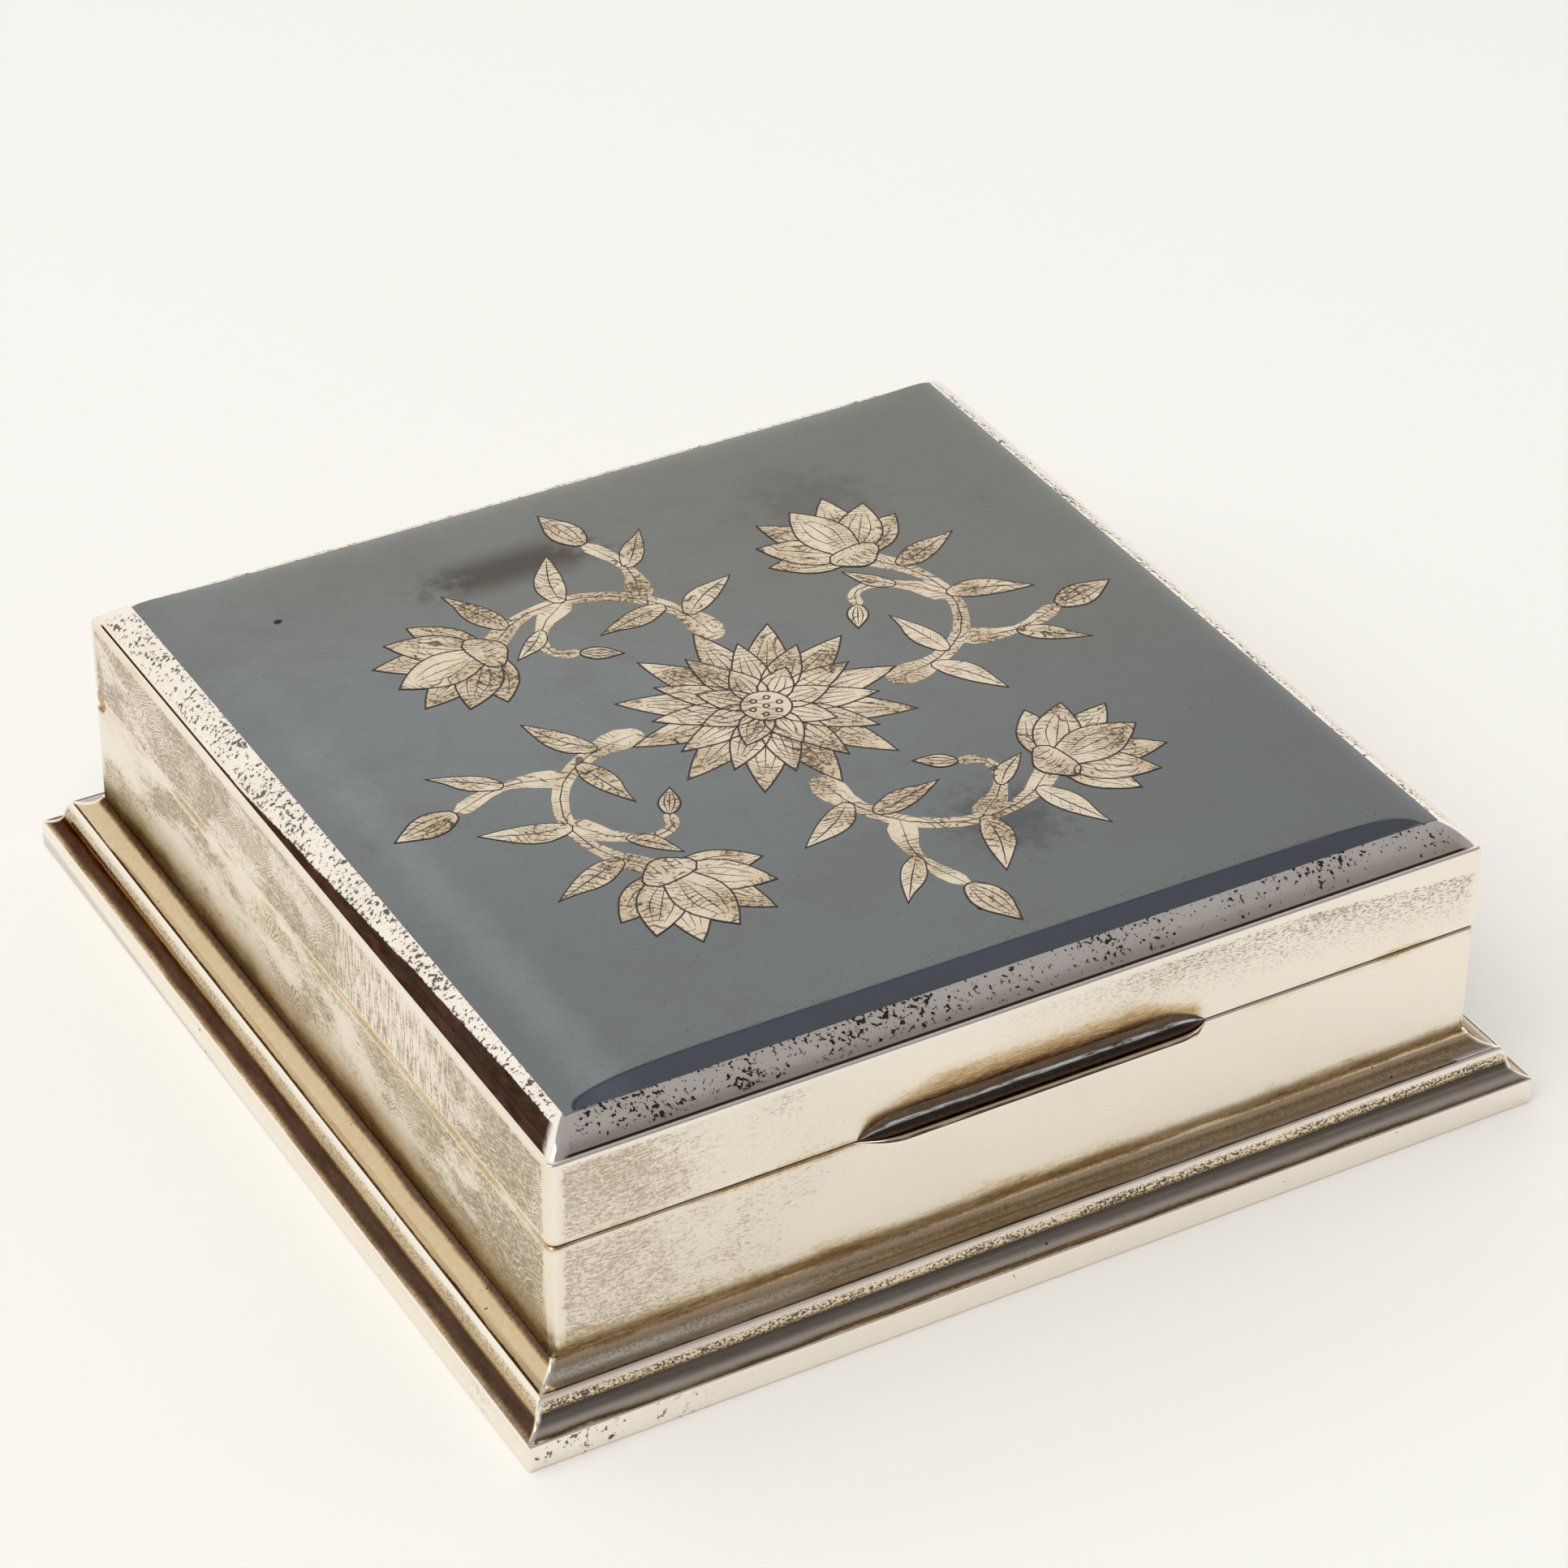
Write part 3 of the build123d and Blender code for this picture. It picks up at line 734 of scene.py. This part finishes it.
def lid_border(material):
    """The lid's sheet: a cushioned border with worn mitres round a sunk floor."""
    swell = sunk((border_foot, lid_wall_top), (panel_half, border_top), -border_bulge, border_steps)
    profile = [(pocket_half, pocket_top), (pocket_half, lid_wall_top), (border_foot, lid_wall_top), *swell,
               (panel_half, panel_floor)]
    sheet = square_ring("lid_sheet", profile)

    def mitre(first, second):
        above_wall = min(first.z, second.z) > lid_wall_top - touch
        outside_panel = max(abs(first.x), abs(second.x)) > panel_half + touch
        return on_mitre(first, second) and above_wall and outside_panel and abs(first.z - second.z) > apart

    round_edges(sheet, mitre, mitre_round)
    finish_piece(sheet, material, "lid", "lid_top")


def thumb_lip(material):
    """A boat-shaped lip, hollowed behind a round nose, that runs out into the wall at both ends."""
    deselect()
    bpy.ops.mesh.primitive_grid_add(x_subdivisions=lip_grid[0], y_subdivisions=lip_grid[1], size=2)
    lip = bpy.context.object
    lip.name = "thumb_lip"

    def fullness(x):
        beyond = max(abs(x) - (thumb_half - thumb_end), 0) / thumb_end
        return max(1 - beyond ** fall_power, thumb_tip)

    def section(row):
        """Reach and height, as shares, from the wall (row 0) over the hollow to the nose (row 1)."""
        if row > nose_row:
            turn = pi / 2 * (row - nose_row) / (1 - nose_row)
            return nose_at + (1 - nose_at) * sin(turn), nose_height - nose_drop * (1 - cos(turn))
        reach = nose_at * row / nose_row
        if reach < hollow_at:
            return reach, hollow_height + (1 - hollow_height) * (1 - reach / hollow_at) ** fall_power
        climb = (reach - hollow_at) / (nose_at - hollow_at)
        return reach, hollow_height + (nose_height - hollow_height) * climb * climb * (3 - 2 * climb)

    for vertex in lip.data.vertices:
        reach, height = section((1 - vertex.co.y) / 2)
        x = thumb_half * sin(pi / 2 * vertex.co.x)
        full = fullness(x)
        y = -wall_face - (thumb_front - wall_face) * reach * full
        z = thumb_foot + (thumb_top - thumb_foot) * height * full
        vertex.co = Vector((x, y, z)) * MM
    edit_rim()
    bpy.ops.mesh.extrude_edges_move(TRANSFORM_OT_translate={"value": (0, 0, -apart * MM)})
    bpy.ops.transform.resize(value=(1, 1, 0), center_override=(0, 0, thumb_foot * MM))
    bpy.ops.mesh.edge_face_add()
    close_piece()

    share = lip.data.attributes.new("across", "FLOAT", "POINT")
    for vertex in lip.data.vertices:
        x, y, z = vertex.co / MM
        reach = (thumb_front - wall_face) * fullness(x)
        share.data[vertex.index].value = (-wall_face - y) / reach if z > thumb_foot + touch else 2.0
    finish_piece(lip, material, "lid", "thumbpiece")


def follow_crown(piece):
    """Lowers a flat piece on the lid to the pillow shape of the panel."""
    rise = crown_top - ground_drop - border_top
    for vertex in piece.data.vertices:
        x, y = abs(vertex.co.x) / MM / panel_half, abs(vertex.co.y) / MM / panel_half
        across = x ** crown_power[0]
        down = y ** crown_power[1] * (1 - corner_ease * x ** corner_power)
        vertex.co.z -= rise * (1 - (1 - across) * (1 - down)) * MM


def split_long_edges(piece, longest, rounds=5):
    for _ in range(rounds):
        edit_edges(piece, lambda first, second: (first - second).length > longest)
        bpy.ops.mesh.subdivide(number_cuts=1)
        bpy.ops.mesh.select_all(action="SELECT")
        bpy.ops.mesh.quads_convert_to_tris()
        bpy.ops.object.mode_set(mode="OBJECT")


def niello_ground(material):
    """The panel: a pillow, nearly flat in the middle, that falls off towards all four edges."""
    deselect()
    size = 2 * panel_half * MM
    bpy.ops.mesh.primitive_grid_add(x_subdivisions=ground_grid, y_subdivisions=ground_grid, size=size)
    ground = bpy.context.object
    ground.name = "niello_ground"

    for vertex in ground.data.vertices:
        vertex.co.z = (crown_top - ground_drop) * MM
    follow_crown(ground)
    edit_rim()
    drop = (0, 0, (panel_floor - border_top) * MM)
    bpy.ops.mesh.extrude_edges_move(TRANSFORM_OT_translate={"value": drop})
    bpy.ops.mesh.edge_face_add()
    close_piece()
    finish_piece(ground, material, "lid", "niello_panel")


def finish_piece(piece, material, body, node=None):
    pick(piece)
    bpy.ops.object.shade_smooth_by_angle(angle=radians(smooth_below))
    piece.data.materials.clear()
    piece.data.materials.append(material)
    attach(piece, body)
    if node:
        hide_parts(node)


def spline(curve, points, closed, width=None):
    """A smooth line through the points; a point given twice is a sharp corner."""
    places = [p for k, p in enumerate(points) if k == 0 or p != points[k - 1]]
    line = curve.splines.new("BEZIER")
    line.bezier_points.add(len(places) - 1)
    line.use_cyclic_u = closed
    ends = () if closed else (places[0], places[-1])
    for knot, place in zip(line.bezier_points, places):
        knot.co = (*place, 0)
        handle = "VECTOR" if points.count(place) > 1 else "AUTO"
        knot.handle_left_type = knot.handle_right_type = handle
        if width:
            knot.radius = width / 2 * (0.4 if place in ends else 1.0)


def flat_curve(layer, flatten=1.0):
    """An empty flat curve, drawn in millimetres at the height of a layer of the inlay."""
    curve = bpy.data.curves.new("inlay", "CURVE")
    curve.dimensions = "2D"
    holder = bpy.data.objects.new("inlay", curve)
    bpy.context.scene.collection.objects.link(holder)
    holder.scale = (MM, MM, MM * flatten)
    holder.location.z = (crown_top - ground_drop + inlay_lift + layer_step * layer) * MM
    return holder


def to_one_mesh(holders, name):
    deselect()
    for holder in holders:
        holder.select_set(True)
    bpy.context.view_layer.objects.active = holders[0]
    bpy.ops.object.convert(target="MESH")
    bpy.ops.object.join()
    piece = bpy.context.object
    piece.name = name
    bpy.ops.object.transform_apply(location=True, rotation=True, scale=True)
    bpy.ops.object.mode_set(mode="EDIT")
    bpy.ops.mesh.select_all(action="SELECT")
    bpy.ops.mesh.remove_doubles(threshold=inlay_touch * MM)
    close_piece()
    return piece


def lid_inlay(design, silver, dark):
    """Silver shapes let into the ground, and dark lines let into the silver."""
    holders = []
    for k, (layer, points) in enumerate(design.shapes):
        holder = flat_curve(layer + 0.1 * (k % 8))
        holder.location.z -= inlay_depth / 2 * MM
        holder.data.fill_mode = "BOTH"
        holder.data.extrude = inlay_depth / 2
        holder.data.resolution_u = 4
        spline(holder.data, points, closed=True)
        holders.append(holder)
    flowers = to_one_mesh(holders, "lid_flowers")
    split_long_edges(flowers, longest_edge)
    follow_crown(flowers)
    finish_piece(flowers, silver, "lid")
    lines = {}
    for layer, points, width, closed in design.cuts:
        if layer not in lines:
            lines[layer] = flat_curve(layer + cut_lift, cut_flatness)
            lines[layer].data.fill_mode = "NONE"
            lines[layer].data.bevel_depth = 1.0
            lines[layer].data.bevel_resolution = 0
            lines[layer].data.resolution_u = 3
        spline(lines[layer].data, points, closed, cut_share * width)
    engraving = to_one_mesh(list(lines.values()), "lid_engraving")
    follow_crown(engraving)
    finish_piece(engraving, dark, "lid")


# Lid design, drawn flat in millimetres: inlaid shapes, and cuts engraved into them
class Drawing:
    """Shapes and cuts of the inlay, each on a layer: a higher layer lies over a lower one."""

    def __init__(self):
        self.shapes = []
        self.cuts = []

    def shape(self, points, layer):
        self.shapes.append((layer, points))

    def cut(self, points, width, layer, closed=False):
        self.cuts.append((layer, points, width, closed))

    def edged(self, points, layer, width=0.2):
        """A shape with a cut along its outline."""
        self.shape(points, layer)
        self.cut(points, width, layer, closed=True)

    def beads(self, points, radius, layer):
        for x, y in points:
            self.cut(arc(x, y, radius, 0, 300), 0.2, layer, closed=True)

    def hatch(self, path, stroke, width, layer):
        for x, y in path:
            bend = (x + 0.55 * stroke[0], y + 0.45 * stroke[1])
            self.cut([(x, y), bend, (x + stroke[0], y + stroke[1])], width, layer)

    def add(self, other, place=lambda p: p):
        for layer, points in other.shapes:
            self.shape([place(p) for p in points], layer)
        for layer, points, width, closed in other.cuts:
            self.cut([place(p) for p in points], width, layer, closed)


def turned(x, y, scale=1.0, angle=0.0):
    """A way of placing points: scaled, turned by angle degrees, then moved to x, y."""
    c, s = scale * cos(radians(angle)), scale * sin(radians(angle))
    return lambda p: (x + c * p[0] - s * p[1], y + s * p[0] + c * p[1])


def between(a, b, t):
    return (a[0] + (b[0] - a[0]) * t, a[1] + (b[1] - a[1]) * t)


def along(a, b, count):
    return [between(a, b, (k + 0.5) / count) for k in range(count)]


def polar(radius, angle):
    return (radius * cos(radians(angle)), radius * sin(radians(angle)))


def arc(x, y, radius, start, end, steps=5):
    angles = [radians(start + (end - start) * k / steps) for k in range(steps + 1)]
    return [(x + radius * cos(a), y + radius * sin(a)) for a in angles]


def petal(stretch, width, layer):
    """A pointed petal with three veins that grows from the origin along +Y."""
    d = Drawing()
    right = [(x * width, y * stretch) for x, y in ((1.1, 1.6), (1.35, 3.4), (0.7, 5.2))]
    left = [(-x, y) for x, y in right]
    tip = (0.0, 6.3 * stretch)
    d.edged([(0.0, 0.0), *left, tip, tip, *right[::-1]], layer)
    for vein in (-0.5, 0.0, 0.5):
        middle = (1.3 * vein * width, 3.2 * stretch)
        d.cut([(0.5 * vein, 1.4 * stretch), middle, (0.6 * vein, 5.0 * stretch)], 0.13, layer)
    return d


def rosette():
    """An open lotus from above: three rings of petals round a seed head."""
    d = Drawing()
    rings = ((12, 1.75, 1.2, 0, 0), (12, 1.35, 1.0, 2, 15), (8, 0.85, 0.95, 4, 0))
    for count, stretch, width, layer, turn in rings:
        for k in range(count):
            d.add(petal(stretch, width, layer), turned(0, 0, 1, turn + 360 * k / count))
    d.edged(arc(0, 0, 1.9, 0, 330, 11), 6)
    d.beads([(0, 0)] + [polar(1.1, 60 * k) for k in range(6)], 0.22, 6)
    return d


def lotus():
    """An open lotus from the side, its foot at the origin."""
    d = Drawing()
    petals = ((66, 0.84, 0.9, 2), (22, 1.06, 0.95, 2), (44, 0.94, 1.0, 3), (0, 0.98, 1.15, 4))
    for angle, stretch, width, layer in petals:
        for lean in sorted({angle, -angle}):
            d.add(petal(stretch, width, layer), turned(0, 0, 1, lean))
    d.edged([(-1.7, 0.4), (0.0, 1.0), (1.7, 0.4), (1.0, -0.7), (0.0, -1.2), (-1.0, -0.7)], 5)
    d.hatch(along((-1.2, 0.2), (1.2, 0.2), 5), (0.0, -0.8), 0.14, 5)
    return d


def bud():
    """A closed bud that grows from the origin along +Y."""
    d = Drawing()
    right = [(0.6, 3.9), (1.2, 2.4), (1.0, 1.0)]
    left = [(-x, y) for x, y in right[::-1]]
    d.edged([(0, 0), *left, (0, 5.0), (0, 5.0), *right], 2)
    for side in (-0.6, 0.0, 0.6):
        d.cut([(0.3 * side, 0.3), (side, 2.2), (0.4 * side, 4.2)], 0.15, 2)
    return d


def leaf(bend):
    """A pointed leaf that grows from the origin along +Y and bends sideways."""
    d = Drawing()
    tip = (0.5 + 2 * bend, 6.6)
    d.edged([(0, 0), (-1.0, 1.4), (-1.1 + 0.3 * bend, 3.2), (-0.2 + bend, 5.2), tip, tip,
             (0.9 + 1.2 * bend, 4.8), (1.1 + 0.4 * bend, 2.8), (0.8, 1.0)], 2, 0.15)
    d.cut([(0.05, 0.4), (0.05 + 0.2 * bend, 2.6), (0.2 + bend, 4.6), (0.4 + 1.7 * bend, 6.0)], 0.15, 2)
    for y in (1.2, 2.1, 3.0, 3.9):
        d.cut([(0.1 + 0.2 * bend, y), (-0.55 + 0.3 * bend, y + 0.8)], 0.11, 2)
        d.cut([(0.1 + 0.2 * bend, y), (0.75 + 0.3 * bend, y + 0.7)], 0.11, 2)
    return d


def stem(points, width):
    """A stem along the points that thins towards its end, with a cut along its middle."""
    d = Drawing()
    left, right = [], []
    for k, (x, y) in enumerate(points):
        before, after = points[max(k - 1, 0)], points[min(k + 1, len(points) - 1)]
        dx, dy = after[0] - before[0], after[1] - before[1]
        half = width * (1 - 0.45 * k / (len(points) - 1)) / 2 / (dx * dx + dy * dy) ** 0.5
        left.append((x - dy * half, y + dx * half))
        right.append((x + dy * half, y - dx * half))
    d.shape(left + right[::-1], 0)
    d.cut(points, 0.14, 0)
    return d


def spray():
    """A lotus on a stem that winds out from the rosette, with two branches of buds, and leaves."""
    d = Drawing()
    d.add(stem([polar(10.0, 4), polar(14.5, 10), polar(19.0, 22), polar(21.6, 38), polar(21.8, 54)], 1.6))
    d.add(stem([polar(17.0, 16), polar(21.5, 12), polar(26.0, 15)], 1.2))
    d.add(stem([polar(20.6, 30), polar(19.4, 42), polar(17.2, 49), polar(15.4, 46)], 1.2))
    # Each sprig: radius and angle where it grows, scale, heading
    sprigs = ((lotus(), 21.8, 54, 1.3, 112), (bud(), 26.0, 15, 1.1, 24), (bud(), 15.4, 46, 0.65, 253),
              (leaf(0.4), 13.5, 8, 0.95, -35), (leaf(-0.4), 15.5, 12, 0.95, 112),
              (leaf(0.4), 20.6, 31, 1.0, 5), (leaf(-0.4), 21.8, 45, 1.0, 30),
              (leaf(0.3), 19.4, 42, 0.65, 150), (leaf(-0.5), 21.5, 12, 0.85, -30))
    for piece, radius, angle, scale, heading in sprigs:
        d.add(piece, turned(*polar(radius, angle), scale, heading - 90))
    return d


def lid_design():
    """A lotus from above in the middle of the lid, and four flowering sprays that wind round it."""
    design = Drawing()
    design.add(rosette(), turned(0, 0, design_scale))
    for quarter in range(4):
        design.add(spray(), turned(0, 0, design_scale, 90 * quarter - 12))
    return design


def dress(material, *names):
    for name in names:
        slots = nodes[name].data.materials
        slots.clear()
        slots.append(material)


dress(wall_silver(), *[f"{part}_{side}" for part in ("body_wall", "lid_wall") for side in SIDES])
dress(inner_silver(), "bottom_plate", "hinge_leaf_body", "hinge_leaf_lid")
long_cedar = cedar_finish("cedar with its grain from side to side", (1, 0, 0))
dress(long_cedar, "lining_floor", "lid_lining", "lining_front", "lining_back")
dress(cedar_finish("cedar with its grain from front to back", (0, 1, 0)), "lining_left", "lining_right")
dress(brass_finish(), "hinge_pin")
base_mouldings(moulding_silver())
lid_border(border_silver())
thumb_lip(thumb_silver())
niello_ground(niello_finish())
lid_inlay(lid_design(), inlay_silver(), engraving_niello())


# Studio
def studio_camera():
    """A long lens, from the front left and above."""
    azimuth, elevation, roll = radians(-30.198), radians(34.734), radians(0.839)
    target = Vector((6.08, 7.16, 14.0)) * MM
    distance = 459.14 * MM
    back = Vector((sin(azimuth) * cos(elevation), -cos(azimuth) * cos(elevation), sin(elevation)))
    data = bpy.data.cameras.new("camera")
    data.sensor_width = 36.0
    data.lens = 116.17
    data.clip_start, data.clip_end = 0.01, 20.0
    camera = bpy.data.objects.new("camera", data)
    bpy.context.scene.collection.objects.link(camera)
    turn = (-back).to_track_quat("-Z", "Y").to_matrix().to_4x4()
    place = Matrix.Translation(target + back * distance)
    camera.matrix_world = place @ turn @ Matrix.Rotation(roll, 4, "Z")
    bpy.context.scene.camera = camera


def studio_floor():
    deselect()
    bpy.ops.mesh.primitive_plane_add(size=4.0)
    floor = bpy.context.object
    floor.name = "floor"
    paper = Finish("pale paper")
    paper.set(base_color=(0.90, 0.893, 0.84), roughness=0.9)
    floor.data.materials.append(paper.material)


def studio_light():
    """A bright tent round the table, dimmer overhead and above the camera, and two softboxes."""
    world = bpy.data.worlds.new("tent")
    bpy.context.scene.world = world
    world.use_nodes = True
    tent = Nodes(world.node_tree, "Generated")
    pale = (1.0, 0.985, 0.95)
    ceiling = (0.40, 0.39, 0.40)
    edge = 0.759
    slanted = tent.vector_math("DOT_PRODUCT", tent.place, (0.24, 0.0, 0.971))
    behind = tent.ramp(slanted, ((0.0, pale), (edge - 0.001, (1.0, 0.99, 0.965)), (edge, (0.20, 0.20, 0.22)),
                                 (edge + 0.008, (0.26, 0.26, 0.29)), (edge + 0.012, (0.39, 0.39, 0.49)),
                                 (1.0, ceiling)))
    before = tent.ramp(tent.z, ((0.0, pale), (0.15, (0.95, 0.93, 0.90)), (0.40, (0.42, 0.39, 0.38)),
                                (0.72, (0.33, 0.31, 0.31)), (1.0, ceiling)))
    colour = tent.blend(tent.y.fade(0.15, -0.45), behind, before)
    tent.feed(tent.tree.nodes["Background"].inputs["Color"], colour)
    softbox("wide softbox", 1.6, 12.6, (-0.45, -0.25, 1.2)).visible_glossy = False
    softbox("small softbox", 0.7, 2.5, (-0.70, -0.32, 1.0)).visible_diffuse = False


def softbox(name, size, energy, place):
    """A square lamp that faces the box."""
    lamp = bpy.data.lights.new(name, "AREA")
    lamp.shape = "SQUARE"
    lamp.size = size
    lamp.energy = energy
    holder = bpy.data.objects.new(name, lamp)
    bpy.context.scene.collection.objects.link(holder)
    spot = Vector(place)
    holder.matrix_world = Matrix.Translation(spot) @ spot.to_track_quat("Z", "Y").to_matrix().to_4x4()
    return holder


studio_camera()
studio_floor()
studio_light()
bpy.context.scene.view_settings.view_transform = "Standard"
